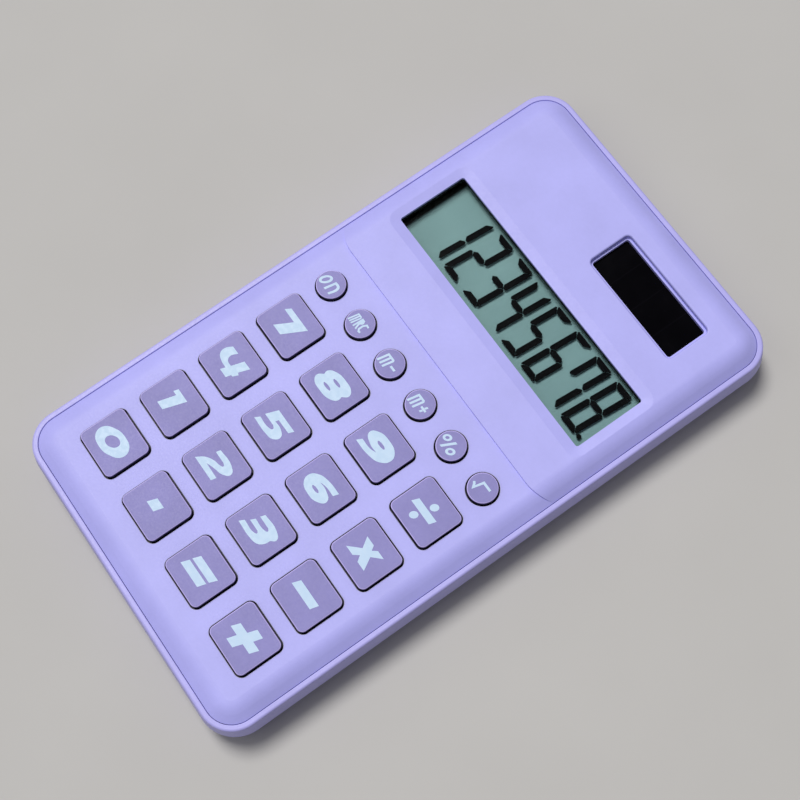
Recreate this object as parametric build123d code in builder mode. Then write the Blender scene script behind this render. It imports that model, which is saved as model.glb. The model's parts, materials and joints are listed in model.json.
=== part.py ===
"""Pocket calculator: two-part case, 22 sprung keys, liquid-crystal display, solar cell and button cell.

Millimetres. The origin is the centre of the flat back, +X is right, +Y points to the display end and
+Z comes out of the keypad, so the calculator lies on its back on the XY plane.
"""
from build123d import *
from math import atan, degrees
import os

# ------------------------------------------------------------------ driving sizes: case
BODY_WIDTH = 70.4           # across the widest line of the side walls, before it is rounded
BODY_LENGTH = 124.2
FACE_HEIGHT = 10.5          # flat back to keypad face
BODY_CORNER = 7.2           # corner radius on the widest line
WIDEST_HEIGHT = 4.6         # height of the widest line above the back
UPPER_LEAN = 10.0           # degrees, side wall above the widest line
LOWER_LEAN = 14.0           # degrees, side wall below it
WIDEST_RADIUS = 6.0         # rounds the widest line
BACK_EDGE_RADIUS = 2.4
RIM_DROP = 1.5              # rim of the back cover below the keypad face
RIM_OUTER_RADIUS = 0.45
RIM_INNER_RADIUS = 0.15
SIDE_WALL = 2.6             # measured in from the widest line
FLOOR = 1.4
SEAT_DROP = 2.9             # ledge that the front cover sits on, below the keypad face
COVER_INSET = 1.95          # side of the front cover in from the widest line
COVER_FIT = 0.1             # clearance of the front cover inside the rim
FACE_WALL = 1.4
SKIRT_WALL = 1.2
INNER_CHAMFER = 0.8         # along the inside of the sloping edge
FACE_EDGE_WIDTH = 2.6       # sloping edge of the face
FACE_EDGE_DROP = 1.6
FACE_EDGE_RADIUS = 4.5      # rounds the top of the slope
PLATEAU_RISE = 0.4          # display end stands proud of the keypad face
PLATEAU_LENGTH = 53.5       # from the display end of the case to the step
PLATEAU_CORNER = 8.3
PLATEAU_OVERHANG = 2.7      # the step's round corners run out past the cover's side

# ------------------------------------------------------------------ driving sizes: keys
KEY_PITCH_X = 14.5
KEY_PITCH_Y = 12.87
KEY_HOLE_WIDTH = 10.8
KEY_HOLE_HEIGHT = 9.9
KEY_HOLE_CORNER = 1.45
FIRST_ROW_FROM_END = 14.4   # lowest key row from the keypad end of the case
ROUND_PITCH = 9.63
ROUND_HOLE = 6.3
ROUND_ROW_GAP = 10.75       # highest square row to the round row
KEY_GAP = 0.3               # key to hole, each side
KEY_PROUD = 1.0             # key top above the keypad face
KEY_EDGE_RADIUS = 0.25
KEY_HOLE_EDGE_RADIUS = 0.15 # rounds the rim of each key hole
KEY_TRAVEL = 1.0
FLANGE = 0.5                # flange beyond the hole, each side
FLANGE_THICKNESS = 0.8
FLANGE_GAP = 0.1            # flange below the inside of the front cover
DOME_GAP = 0.05             # key above its dome

# ------------------------------------------------------------------ driving sizes: display and solar cell
WINDOW_WIDTH = 55.4
WINDOW_HEIGHT = 14.9
WINDOW_CORNER = 0.5
WINDOW_FROM_END = 34.65     # window centre from the display end of the case
DISH_MARGIN = 2.1           # shallow dish round the window
DISH_DEPTH = 0.3
LIP = 0.6                   # edge of the window
GLASS_DEPTH = 2.0           # display surface below the display end's face
GLASS_THICKNESS = 0.7
FILM_THICKNESS = 0.2
GLASS_MARGIN_X = 1.8        # glass beyond the window
GLASS_MARGIN_Y = 1.65
FILM_MARGIN = 1.0
GLASS_LEDGE = 2.6           # contact ledge of the front glass
GLASS_FIT = 0.15
HOLDER_WALL = 0.9
HOLDER_SKIRT = 2.0          # skirt of the holder below the display surface
ZEBRA_WIDTH = 1.8
ZEBRA_END_GAP = 3.0
FOAM_WIDTH = 4.0
SOLAR_X = 12.3
SOLAR_FROM_END = 13.75
SOLAR_RECESS_WIDTH = 24.0
SOLAR_RECESS_HEIGHT = 9.5
SOLAR_RECESS_CORNER = 1.0
SOLAR_RECESS_DEPTH = 1.0
SOLAR_LEDGE = 0.45          # ledge round the opening at the bottom of the recess
SOLAR_RIM_RADIUS = 0.35
SOLAR_CELL_MARGIN = 1.2     # cell beyond its opening
SOLAR_CELL_THICKNESS = 1.1
SOLAR_EDGE = 0.3

# ------------------------------------------------------------------ driving sizes: inside
BOARD_THICKNESS = 1.2
BOARD_HEIGHT = 2.6          # underside of the board above the floor
BOARD_WIDTH = 58.0
BOARD_MARGIN = 1.0          # board beyond the dome mat at the keypad end
BOARD_TAIL = 4.0            # board beyond the display holder, with the solder pads
PAD_THICKNESS = 0.05
PAD_SLOT = 0.5
MAT_THICKNESS = 0.8
MAT_MARGIN = 1.0            # mat beyond the key holes
PILL_THICKNESS = 0.4
DOME_WALL = 0.6
DOME_LEAN = 24.0            # degrees, outer wall of a dome
SQUARE_DOME_RADIUS = 3.6
ROUND_DOME_RADIUS = 2.75
BOARD_SCREW_RADIUS = 0.8
BOARD_SCREW_HEAD_RADIUS = 1.6
BOARD_SCREW_HEAD = 1.0
BOARD_SCREW_LENGTH = 3.4
BOARD_BOSS_RADIUS = 1.8
BOARD_BOSS_FROM_SIDE = 9.2  # the two bosses beside the display, from the widest line
CASE_SCREW_INSET = 6.2      # case screws from the widest line, on both sides
CASE_SCREW_RADIUS = 0.95
CASE_SCREW_HEAD_RADIUS = 1.9
CASE_SCREW_HEAD = 1.2
CASE_SCREW_LENGTH = 3.8
CASE_SCREW_SINK = 0.6       # screw head below the back
CASE_SCREW_SEAT = 1.2       # plastic under the screw head
CASE_BOSS_RADIUS = 2.5
CASE_POST_RADIUS = 3.7
SCREW_FIT = 0.05            # screw to bore, and head to recess
HOLE_FIT = 0.3              # screw to a plain hole, boss to the board and mat
SLOT_WIDTH = 0.45
SLOT_DEPTH = 0.5
SUPPORT_RADIUS = 1.5        # posts under the board
CELL_RADIUS = 5.8           # a standard 11.6 x 3.05 button cell
CELL_THICKNESS = 3.05
CELL_RIM = 0.5              # bevel at the negative cap
CELL_X = -16.5
CELL_FROM_END = 12.2
CELL_FIT = 0.2
CELL_HOLDER_WALL = 1.2
CONTACT_SHEET = 0.25
CONTACT_SPRING = 0.35       # lift of the negative contact's spring bump
CONTACT_WIDTH = 4.0
CONTACT_TAB = 12.0          # negative contact, cell centre to the end of its tab
PEG_RADIUS = 0.6
PEG_RISE = 0.5
EAR_RADIUS = 1.9
CHIP_RADIUS = 5.5
CHIP_HEIGHT = 1.3
WIRE_RADIUS = 0.5
WIRE_BEND = 0.4             # radius of a wire's arcs, as a share of its shortest run
WIRE_STEP = 3.0             # sideways step of a wire on its way to the board
WIRE_LAP = 2.5              # length that lies on a solder pad
CHIP_PART_LENGTH = 2.0      # small parts on the underside of the board
CHIP_PART_WIDTH = 1.25
CHIP_PART_HEIGHT = 0.8
DIODE_LENGTH = 3.4
DIODE_RADIUS = 0.8

# ------------------------------------------------------------------ levels, from the stack
REACH = 0.01                # how near an edge lies to the place it is looked for at
HALF_WIDTH = BODY_WIDTH / 2
HALF_LENGTH = BODY_LENGTH / 2
RIM_Z = FACE_HEIGHT - RIM_DROP
SEAT_Z = FACE_HEIGHT - SEAT_DROP
SLOPE_Z = FACE_HEIGHT - FACE_EDGE_DROP
INNER_Z = FACE_HEIGHT - FACE_WALL
PLATEAU_Z = FACE_HEIGHT + PLATEAU_RISE
FLANGE_TOP_Z = INNER_Z - FLANGE_GAP
FLANGE_BOTTOM_Z = FLANGE_TOP_Z - FLANGE_THICKNESS
KEY_TOP_Z = FACE_HEIGHT + KEY_PROUD
BOARD_BOTTOM_Z = FLOOR + BOARD_HEIGHT
BOARD_Z = BOARD_BOTTOM_Z + BOARD_THICKNESS
MAT_Z = BOARD_Z + MAT_THICKNESS
DOME_TOP_Z = FLANGE_BOTTOM_Z - DOME_GAP
PILL_Z = BOARD_Z + PAD_THICKNESS + KEY_TRAVEL - DOME_GAP
DOME_ROOF_Z = PILL_Z + PILL_THICKNESS
LIP_Z = PLATEAU_Z - DISH_DEPTH - LIP
GLASS_Z = PLATEAU_Z - GLASS_DEPTH
FRONT_GLASS_Z = GLASS_Z - FILM_THICKNESS - GLASS_THICKNESS
REAR_GLASS_Z = FRONT_GLASS_Z - GLASS_THICKNESS
REFLECTOR_Z = REAR_GLASS_Z - FILM_THICKNESS
HOLDER_BOTTOM_Z = GLASS_Z - HOLDER_SKIRT
CASE_HEAD_Z = CASE_SCREW_SINK + CASE_SCREW_HEAD
CASE_POST_Z = CASE_HEAD_Z + CASE_SCREW_SEAT
SOLAR_CELL_Z = INNER_Z - SOLAR_CELL_THICKNESS
CELL_Z = FLOOR + CONTACT_SHEET + CONTACT_SPRING
CELL_TOP_Z = CELL_Z + CELL_THICKNESS
BOARD_WIRE_Z = BOARD_Z + WIRE_RADIUS
UNDER_WIRE_Z = BOARD_BOTTOM_Z - WIRE_RADIUS
POSITIVE_WIRE_Z = CELL_TOP_Z + CONTACT_SHEET + WIRE_RADIUS
NEGATIVE_WIRE_Z = FLOOR + CONTACT_SHEET + WIRE_RADIUS
SOLAR_WIRE_Z = SOLAR_CELL_Z - WIRE_RADIUS

# ------------------------------------------------------------------ places, from the ends of the case
ROWS_Y = [-HALF_LENGTH + FIRST_ROW_FROM_END + row * KEY_PITCH_Y for row in range(4)]
COLUMNS_X = [(column - 1.5) * KEY_PITCH_X for column in range(4)]
ROUND_Y = ROWS_Y[3] + ROUND_ROW_GAP
ROUND_X = [(column - 2.5) * ROUND_PITCH for column in range(6)]
SQUARE_SPOTS = [(x, y) for y in ROWS_Y for x in COLUMNS_X]
ROUND_SPOTS = [(x, ROUND_Y) for x in ROUND_X]
PLATEAU_Y = HALF_LENGTH - PLATEAU_LENGTH
WINDOW_Y = HALF_LENGTH - WINDOW_FROM_END
SOLAR_Y = HALF_LENGTH - SOLAR_FROM_END
CELL_Y = HALF_LENGTH - CELL_FROM_END

GLASS_WIDTH = WINDOW_WIDTH + 2 * GLASS_MARGIN_X
REAR_GLASS_HEIGHT = WINDOW_HEIGHT + 2 * GLASS_MARGIN_Y
FRONT_GLASS_HEIGHT = REAR_GLASS_HEIGHT + GLASS_LEDGE
FRONT_GLASS_Y = WINDOW_Y - GLASS_LEDGE / 2
FILM_WIDTH = WINDOW_WIDTH + 2 * FILM_MARGIN
FILM_HEIGHT = WINDOW_HEIGHT + 2 * FILM_MARGIN
HOLDER_INNER_WIDTH = GLASS_WIDTH + 2 * GLASS_FIT
HOLDER_INNER_HEIGHT = FRONT_GLASS_HEIGHT + 2 * GLASS_FIT
HOLDER_WIDTH = HOLDER_INNER_WIDTH + 2 * HOLDER_WALL
HOLDER_HEIGHT = HOLDER_INNER_HEIGHT + 2 * HOLDER_WALL

BOARD_LOW_Y = ROWS_Y[0] - KEY_HOLE_HEIGHT / 2 - BOARD_MARGIN
BOARD_HIGH_Y = FRONT_GLASS_Y + HOLDER_HEIGHT / 2 + BOARD_TAIL
BOARD_LENGTH = BOARD_HIGH_Y - BOARD_LOW_Y
BOARD_Y = (BOARD_HIGH_Y + BOARD_LOW_Y) / 2
PAD_Y = BOARD_HIGH_Y - BOARD_TAIL / 2
MAT_LOW_Y = ROWS_Y[0] - KEY_HOLE_HEIGHT / 2
MAT_HIGH_Y = ROUND_Y + ROUND_HOLE / 2 + MAT_MARGIN
MAT_WIDTH = 3 * KEY_PITCH_X + KEY_HOLE_WIDTH + 2 * MAT_MARGIN

SCREW_X = HALF_WIDTH - CASE_SCREW_INSET
SCREW_Y = HALF_LENGTH - CASE_SCREW_INSET
CASE_SCREW_SPOTS = [(-SCREW_X, -SCREW_Y), (SCREW_X, -SCREW_Y), (-SCREW_X, SCREW_Y), (SCREW_X, SCREW_Y)]
LOW_CROSS_Y = (ROWS_Y[0] + ROWS_Y[1]) / 2
HIGH_CROSS_Y = (ROWS_Y[2] + ROWS_Y[3]) / 2
SHOULDER_X = HALF_WIDTH - BOARD_BOSS_FROM_SIDE
SHOULDER_Y = (MAT_HIGH_Y + FRONT_GLASS_Y - HOLDER_HEIGHT / 2) / 2
BOARD_SCREW_SPOTS = [(-KEY_PITCH_X, LOW_CROSS_Y), (KEY_PITCH_X, LOW_CROSS_Y),
                     (-KEY_PITCH_X, HIGH_CROSS_Y), (KEY_PITCH_X, HIGH_CROSS_Y),
                     (-SHOULDER_X, SHOULDER_Y), (SHOULDER_X, SHOULDER_Y)]
SUPPORT_SPOTS = [(x, y) for x in (COLUMNS_X[0], 0, COLUMNS_X[3]) for y in (ROWS_Y[0], ROWS_Y[2])]
SUPPORT_SPOTS += [(x, WINDOW_Y) for x in (COLUMNS_X[0], COLUMNS_X[3])]
EAR_X = CELL_RADIUS + CELL_FIT + CELL_HOLDER_WALL + EAR_RADIUS
EAR_SPOTS = [(CELL_X - EAR_X, CELL_Y), (CELL_X + EAR_X, CELL_Y)]
SOLAR_CELL_WIDTH = SOLAR_RECESS_WIDTH - 2 * SOLAR_LEDGE + 2 * SOLAR_CELL_MARGIN
SOLAR_CELL_HEIGHT = SOLAR_RECESS_HEIGHT - 2 * SOLAR_LEDGE + 2 * SOLAR_CELL_MARGIN
SOLAR_LOW_Y = SOLAR_Y - SOLAR_CELL_HEIGHT / 2

os.makedirs("parts", exist_ok=True)


def save(piece, name):
    """Label a finished piece and write its STEP file."""
    piece.part.label = name
    export_step(piece.part, f"parts/{name}.step")


def case_outline(inset):
    """Outline of the case, moved in from its widest line."""
    return RectangleRounded(BODY_WIDTH - 2 * inset, BODY_LENGTH - 2 * inset, BODY_CORNER - inset)


# ------------------------------------------------------------------ front cover
def face_slope(rise):
    """Lean of the sloping edge, in degrees, for a face that is raised."""
    return degrees(atan(FACE_EDGE_WIDTH / (FACE_EDGE_DROP + rise)))


with BuildPart() as plateau:
    with BuildSketch(Plane.XY.offset(SLOPE_Z)):
        case_outline(COVER_INSET)
    extrude(amount=PLATEAU_Z - SLOPE_Z, taper=face_slope(PLATEAU_RISE))
    fillet(plateau.edges().group_by(Axis.Z)[-1], radius=FACE_EDGE_RADIUS)
    with BuildSketch(Plane.XY.offset(SLOPE_Z)):
        with Locations((0, PLATEAU_Y + HALF_LENGTH)):
            RectangleRounded(BODY_WIDTH - 2 * COVER_INSET + 2 * PLATEAU_OVERHANG, BODY_LENGTH, PLATEAU_CORNER)
    extrude(amount=PLATEAU_Z - SLOPE_Z, mode=Mode.INTERSECT)

with BuildPart() as front_cover:
    with BuildSketch(Plane.XY.offset(SLOPE_Z)):
        case_outline(COVER_INSET)
    extrude(amount=FACE_HEIGHT - SLOPE_Z, taper=face_slope(0))
    fillet(front_cover.edges().group_by(Axis.Z)[-1], radius=FACE_EDGE_RADIUS)
    add(plateau.part)
    with BuildSketch(Plane.XY.offset(SEAT_Z)):
        case_outline(COVER_INSET)
    extrude(amount=SLOPE_Z - SEAT_Z)
    # Inside of the cover.
    with BuildSketch(Plane.XY.offset(SEAT_Z)):
        case_outline(COVER_INSET + SKIRT_WALL)
    extrude(amount=INNER_Z - INNER_CHAMFER - SEAT_Z, mode=Mode.SUBTRACT)
    with BuildSketch(Plane.XY.offset(INNER_Z - INNER_CHAMFER)):
        case_outline(COVER_INSET + SKIRT_WALL)
    extrude(amount=INNER_CHAMFER, taper=45, mode=Mode.SUBTRACT)
    # Shallow dish round the display window, then the window and the pocket for its holder.
    with BuildSketch(Plane.XY.offset(PLATEAU_Z - DISH_DEPTH)):
        with Locations((0, WINDOW_Y)):
            RectangleRounded(WINDOW_WIDTH, WINDOW_HEIGHT, WINDOW_CORNER)
    with BuildSketch(Plane.XY.offset(PLATEAU_Z)):
        with Locations((0, WINDOW_Y)):
            RectangleRounded(WINDOW_WIDTH + 2 * DISH_MARGIN, WINDOW_HEIGHT + 2 * DISH_MARGIN,
                             WINDOW_CORNER + DISH_MARGIN)
    loft(ruled=True, mode=Mode.SUBTRACT)
    with BuildSketch(Plane.XY.offset(INNER_Z)):
        with Locations((0, WINDOW_Y)):
            RectangleRounded(WINDOW_WIDTH, WINDOW_HEIGHT, WINDOW_CORNER)
    extrude(amount=PLATEAU_Z - INNER_Z, mode=Mode.SUBTRACT)
    with BuildSketch(Plane.XY.offset(INNER_Z)):
        with Locations((0, FRONT_GLASS_Y)):
            Rectangle(HOLDER_WIDTH + 2 * GLASS_FIT, HOLDER_HEIGHT + 2 * GLASS_FIT)
    extrude(amount=LIP_Z - INNER_Z, mode=Mode.SUBTRACT)
    # Recess of the solar cell, with a rounded rim and a ledge.
    with BuildSketch(Plane.XY.offset(PLATEAU_Z - SOLAR_RECESS_DEPTH)):
        with Locations((SOLAR_X, SOLAR_Y)):
            RectangleRounded(SOLAR_RECESS_WIDTH, SOLAR_RECESS_HEIGHT, SOLAR_RECESS_CORNER)
    extrude(amount=SOLAR_RECESS_DEPTH, mode=Mode.SUBTRACT)
    solar_rim = front_cover.edges().filter_by_position(Axis.Z, PLATEAU_Z - REACH, PLATEAU_Z + REACH)
    solar_rim = solar_rim.filter_by_position(
        Axis.X, SOLAR_X - SOLAR_RECESS_WIDTH / 2 - REACH, SOLAR_X + SOLAR_RECESS_WIDTH / 2 + REACH)
    solar_rim = solar_rim.filter_by_position(
        Axis.Y, SOLAR_Y - SOLAR_RECESS_HEIGHT / 2 - REACH, SOLAR_Y + SOLAR_RECESS_HEIGHT / 2 + REACH)
    fillet(solar_rim, radius=SOLAR_RIM_RADIUS)
    with BuildSketch(Plane.XY.offset(INNER_Z)):
        with Locations((SOLAR_X, SOLAR_Y)):
            RectangleRounded(SOLAR_RECESS_WIDTH - 2 * SOLAR_LEDGE, SOLAR_RECESS_HEIGHT - 2 * SOLAR_LEDGE,
                             SOLAR_RECESS_CORNER - SOLAR_LEDGE)
    extrude(amount=PLATEAU_Z - INNER_Z, mode=Mode.SUBTRACT)
    # Key holes.
    with BuildSketch(Plane.XY.offset(INNER_Z)):
        with Locations(*SQUARE_SPOTS):
            RectangleRounded(KEY_HOLE_WIDTH, KEY_HOLE_HEIGHT, KEY_HOLE_CORNER)
        with Locations(*ROUND_SPOTS):
            Circle(ROUND_HOLE / 2)
    extrude(amount=PLATEAU_Z - INNER_Z, mode=Mode.SUBTRACT)
    hole_rims = front_cover.edges().filter_by_position(Axis.Z, FACE_HEIGHT - REACH, FACE_HEIGHT + REACH)
    hole_rims = hole_rims.filter_by_position(
        Axis.X, COLUMNS_X[0] - KEY_HOLE_WIDTH / 2 - REACH, COLUMNS_X[3] + KEY_HOLE_WIDTH / 2 + REACH)
    hole_rims = hole_rims.filter_by_position(
        Axis.Y, ROWS_Y[0] - KEY_HOLE_HEIGHT / 2 - REACH, ROUND_Y + ROUND_HOLE / 2 + REACH)
    fillet(hole_rims, radius=KEY_HOLE_EDGE_RADIUS)
    # Screw bosses for the case and the board.
    with BuildSketch(Plane.XY.offset(CASE_POST_Z)):
        with Locations(*CASE_SCREW_SPOTS):
            Circle(CASE_BOSS_RADIUS)
    extrude(amount=INNER_Z - CASE_POST_Z)
    with BuildSketch(Plane.XY.offset(CASE_POST_Z)):
        with Locations(*CASE_SCREW_SPOTS):
            Circle(CASE_SCREW_RADIUS + SCREW_FIT)
    extrude(amount=CASE_SCREW_LENGTH, mode=Mode.SUBTRACT)
    with BuildSketch(Plane.XY.offset(BOARD_Z)):
        with Locations(*BOARD_SCREW_SPOTS):
            Circle(BOARD_BOSS_RADIUS)
    extrude(amount=INNER_Z - BOARD_Z)
    with BuildSketch(Plane.XY.offset(BOARD_Z)):
        with Locations(*BOARD_SCREW_SPOTS):
            Circle(BOARD_SCREW_RADIUS + SCREW_FIT)
    extrude(amount=BOARD_SCREW_LENGTH - BOARD_THICKNESS + HOLE_FIT, mode=Mode.SUBTRACT)
save(front_cover, "front_cover")

# ------------------------------------------------------------------ back cover
with BuildPart() as back_cover:
    with BuildSketch(Plane.XY.offset(WIDEST_HEIGHT)):
        case_outline(0)
    extrude(amount=RIM_Z - WIDEST_HEIGHT, taper=UPPER_LEAN)
    with BuildSketch(Plane.XY.offset(WIDEST_HEIGHT)):
        case_outline(0)
    extrude(amount=WIDEST_HEIGHT, dir=(0, 0, -1), taper=LOWER_LEAN)
    widest_edges = back_cover.edges().filter_by_position(Axis.Z, WIDEST_HEIGHT, WIDEST_HEIGHT)
    fillet(widest_edges, radius=WIDEST_RADIUS)
    fillet(back_cover.edges().group_by(Axis.Z)[0], radius=BACK_EDGE_RADIUS)
    fillet(back_cover.edges().group_by(Axis.Z)[-1], radius=RIM_OUTER_RADIUS)
    # Cavity, then the seat of the front cover inside the rim.
    with BuildSketch(Plane.XY.offset(FLOOR)):
        case_outline(SIDE_WALL)
    extrude(amount=RIM_Z - FLOOR, mode=Mode.SUBTRACT)
    with BuildSketch(Plane.XY.offset(SEAT_Z)):
        case_outline(COVER_INSET - COVER_FIT)
    extrude(amount=RIM_Z - SEAT_Z, mode=Mode.SUBTRACT)
    rim_face = back_cover.faces().filter_by(Axis.Z).sort_by(Axis.Z)[-1]
    fillet(rim_face.inner_wires()[0].edges(), radius=RIM_INNER_RADIUS)
    # Screw posts, with the heads sunk in the back.
    with BuildSketch(Plane.XY.offset(FLOOR)):
        with Locations(*CASE_SCREW_SPOTS):
            Circle(CASE_POST_RADIUS)
    extrude(amount=CASE_POST_Z - FLOOR)
    with BuildSketch(Plane.XY):
        with Locations(*CASE_SCREW_SPOTS):
            Circle(CASE_SCREW_HEAD_RADIUS + HOLE_FIT)
    extrude(amount=CASE_HEAD_Z, mode=Mode.SUBTRACT)
    with BuildSketch(Plane.XY):
        with Locations(*CASE_SCREW_SPOTS):
            Circle(CASE_SCREW_RADIUS + HOLE_FIT)
    extrude(amount=CASE_POST_Z, mode=Mode.SUBTRACT)
    # Posts that carry the board when a key is pressed.
    with BuildSketch(Plane.XY.offset(FLOOR)):
        with Locations(*SUPPORT_SPOTS):
            Circle(SUPPORT_RADIUS)
    extrude(amount=BOARD_HEIGHT)
    # Button cell holder: a ring with an ear on each side and a gap for the negative contact.
    with BuildSketch(Plane.XY.offset(FLOOR)):
        with Locations((CELL_X, CELL_Y)):
            Circle(CELL_RADIUS + CELL_FIT + CELL_HOLDER_WALL)
            SlotCenterToCenter(2 * EAR_X, 2 * EAR_RADIUS)
            Circle(CELL_RADIUS + CELL_FIT, mode=Mode.SUBTRACT)
        with Locations((CELL_X, CELL_Y - CELL_RADIUS)):
            Rectangle(CONTACT_WIDTH + 2 * HOLE_FIT, 2 * CELL_RADIUS, mode=Mode.SUBTRACT)
    extrude(amount=CELL_TOP_Z - FLOOR)
    with BuildSketch(Plane.XY.offset(CELL_TOP_Z)):
        with Locations(*EAR_SPOTS):
            Circle(PEG_RADIUS)
    extrude(amount=PEG_RISE)
save(back_cover, "back_cover")

# ------------------------------------------------------------------ display
with BuildPart() as lcd_holder:
    with BuildSketch(Plane.XY.offset(HOLDER_BOTTOM_Z)):
        with Locations((0, FRONT_GLASS_Y)):
            Rectangle(HOLDER_WIDTH, HOLDER_HEIGHT)
            Rectangle(HOLDER_INNER_WIDTH, HOLDER_INNER_HEIGHT, mode=Mode.SUBTRACT)
    extrude(amount=LIP_Z - HOLDER_BOTTOM_Z)
    with BuildSketch(Plane.XY.offset(GLASS_Z)):
        with Locations((0, FRONT_GLASS_Y)):
            Rectangle(HOLDER_WIDTH, HOLDER_HEIGHT)
        with Locations((0, WINDOW_Y)):
            RectangleRounded(WINDOW_WIDTH, WINDOW_HEIGHT, WINDOW_CORNER, mode=Mode.SUBTRACT)
    extrude(amount=LIP_Z - GLASS_Z)
save(lcd_holder, "lcd_holder")

with BuildPart() as lcd_front_polariser:
    with BuildSketch(Plane.XY.offset(GLASS_Z - FILM_THICKNESS)):
        with Locations((0, WINDOW_Y)):
            Rectangle(FILM_WIDTH, FILM_HEIGHT)
    extrude(amount=FILM_THICKNESS)
save(lcd_front_polariser, "lcd_front_polariser")

with BuildPart() as lcd_front_glass:
    with BuildSketch(Plane.XY.offset(FRONT_GLASS_Z)):
        with Locations((0, FRONT_GLASS_Y)):
            Rectangle(GLASS_WIDTH, FRONT_GLASS_HEIGHT)
    extrude(amount=GLASS_THICKNESS)
save(lcd_front_glass, "lcd_front_glass")

with BuildPart() as lcd_rear_glass:
    with BuildSketch(Plane.XY.offset(REAR_GLASS_Z)):
        with Locations((0, WINDOW_Y)):
            Rectangle(GLASS_WIDTH, REAR_GLASS_HEIGHT)
    extrude(amount=GLASS_THICKNESS)
save(lcd_rear_glass, "lcd_rear_glass")

with BuildPart() as lcd_reflector:
    with BuildSketch(Plane.XY.offset(REFLECTOR_Z)):
        with Locations((0, WINDOW_Y)):
            Rectangle(FILM_WIDTH, FILM_HEIGHT)
    extrude(amount=FILM_THICKNESS)
save(lcd_reflector, "lcd_reflector")

with BuildPart() as zebra_strip:
    with BuildSketch(Plane.XY.offset(BOARD_Z)):
        with Locations((0, WINDOW_Y - REAR_GLASS_HEIGHT / 2 - GLASS_LEDGE / 2)):
            Rectangle(GLASS_WIDTH - 2 * ZEBRA_END_GAP, ZEBRA_WIDTH)
    extrude(amount=FRONT_GLASS_Z - BOARD_Z)
save(zebra_strip, "zebra_strip")

with BuildPart() as foam_strip:
    with BuildSketch(Plane.XY.offset(BOARD_Z)):
        with Locations((0, WINDOW_Y + FILM_HEIGHT / 2 - FOAM_WIDTH / 2)):
            Rectangle(GLASS_WIDTH - 2 * ZEBRA_END_GAP, FOAM_WIDTH)
    extrude(amount=REFLECTOR_Z - BOARD_Z)
save(foam_strip, "foam_strip")

# ------------------------------------------------------------------ solar cell
with BuildPart() as solar_cell:
    with BuildSketch(Plane.XY.offset(SOLAR_CELL_Z)):
        with Locations((SOLAR_X, SOLAR_Y)):
            Rectangle(SOLAR_CELL_WIDTH, SOLAR_CELL_HEIGHT)
    extrude(amount=SOLAR_CELL_THICKNESS)
    chamfer(solar_cell.edges().group_by(Axis.Z)[0], length=SOLAR_EDGE)
save(solar_cell, "solar_cell")

# ------------------------------------------------------------------ circuit board and what is on it
with BuildPart() as circuit_board:
    with BuildSketch(Plane.XY.offset(BOARD_BOTTOM_Z)):
        with Locations((0, BOARD_Y)):
            Rectangle(BOARD_WIDTH, BOARD_LENGTH)
        with Locations(*CASE_SCREW_SPOTS):
            Circle(CASE_BOSS_RADIUS + HOLE_FIT, mode=Mode.SUBTRACT)
        with Locations(*BOARD_SCREW_SPOTS):
            Circle(BOARD_SCREW_RADIUS + HOLE_FIT, mode=Mode.SUBTRACT)
    extrude(amount=BOARD_THICKNESS)
save(circuit_board, "circuit_board")

with BuildPart() as key_contacts:
    with BuildSketch(Plane.XY.offset(BOARD_Z)):
        with Locations(*SQUARE_SPOTS):
            Circle(SQUARE_DOME_RADIUS - 2 * DOME_WALL)
            Rectangle(PAD_SLOT, 2 * SQUARE_DOME_RADIUS, mode=Mode.SUBTRACT)
        with Locations(*ROUND_SPOTS):
            Circle(ROUND_DOME_RADIUS - 2 * DOME_WALL)
            Rectangle(PAD_SLOT, 2 * ROUND_DOME_RADIUS, mode=Mode.SUBTRACT)
    extrude(amount=PAD_THICKNESS)
save(key_contacts, "key_contacts")

with BuildPart() as dome_mat:
    with BuildSketch(Plane.XY.offset(BOARD_Z)):
        with Locations((0, (MAT_LOW_Y + MAT_HIGH_Y) / 2)):
            Rectangle(MAT_WIDTH, MAT_HIGH_Y - MAT_LOW_Y)
    extrude(amount=MAT_THICKNESS)
    with BuildSketch(Plane.XY.offset(MAT_Z)):
        with Locations(*SQUARE_SPOTS):
            Circle(SQUARE_DOME_RADIUS)
        with Locations(*ROUND_SPOTS):
            Circle(ROUND_DOME_RADIUS)
    extrude(amount=DOME_TOP_Z - MAT_Z, taper=DOME_LEAN)
    with BuildSketch(Plane.XY.offset(BOARD_Z)):
        with Locations(*SQUARE_SPOTS):
            Circle(SQUARE_DOME_RADIUS - DOME_WALL)
        with Locations(*ROUND_SPOTS):
            Circle(ROUND_DOME_RADIUS - DOME_WALL)
    extrude(amount=DOME_ROOF_Z - BOARD_Z, taper=DOME_LEAN / 2, mode=Mode.SUBTRACT)
    with BuildSketch(Plane.XY.offset(BOARD_Z)):
        with Locations(*BOARD_SCREW_SPOTS):
            Circle(BOARD_BOSS_RADIUS + HOLE_FIT)
        with Locations(*CASE_SCREW_SPOTS):
            Circle(CASE_BOSS_RADIUS + HOLE_FIT)
    extrude(amount=MAT_THICKNESS, mode=Mode.SUBTRACT)
save(dome_mat, "dome_mat")

with BuildPart() as contact_pills:
    with BuildSketch(Plane.XY.offset(PILL_Z)):
        with Locations(*SQUARE_SPOTS):
            Circle(SQUARE_DOME_RADIUS - 3 * DOME_WALL)
        with Locations(*ROUND_SPOTS):
            Circle(ROUND_DOME_RADIUS - 3 * DOME_WALL)
    extrude(amount=PILL_THICKNESS)
save(contact_pills, "contact_pills")

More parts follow.
